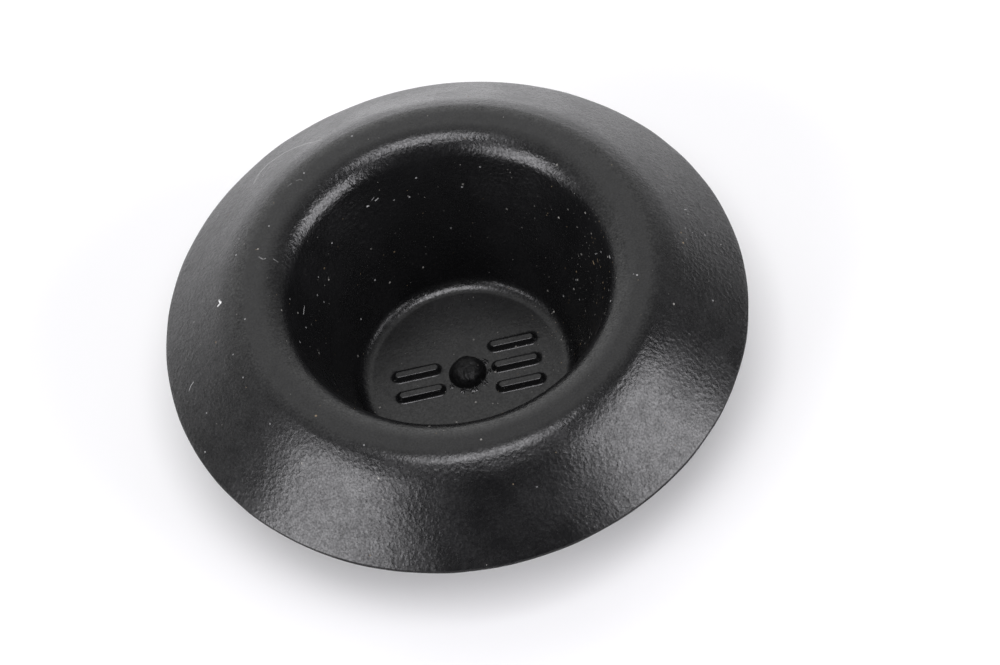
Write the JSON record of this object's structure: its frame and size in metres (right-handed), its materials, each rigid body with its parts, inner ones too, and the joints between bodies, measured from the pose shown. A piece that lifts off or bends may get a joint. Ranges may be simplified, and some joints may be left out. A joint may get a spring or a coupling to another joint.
{
  "type": "hole plug",
  "caption": "Round push-in hole plug: a tapered cup with an umbrella flange, and a snap bead that holds it in a hole in sheet panel.",
  "frame": {"origin": "on the plug's axis, in the plane of the panel face that the rim bears on", "axes": "+Z along the axis out of the panel, from the cup's base towards its open mouth; +X along the tally bars on the cup's floor"},
  "size_m": [0.0222, 0.0222, 0.0075],
  "materials": {
    "plug": "satin black with a fine pebbled mould texture"
  },
  "bodies": {
    "root": {"plug": "plug"}
  },
  "joints": []
}
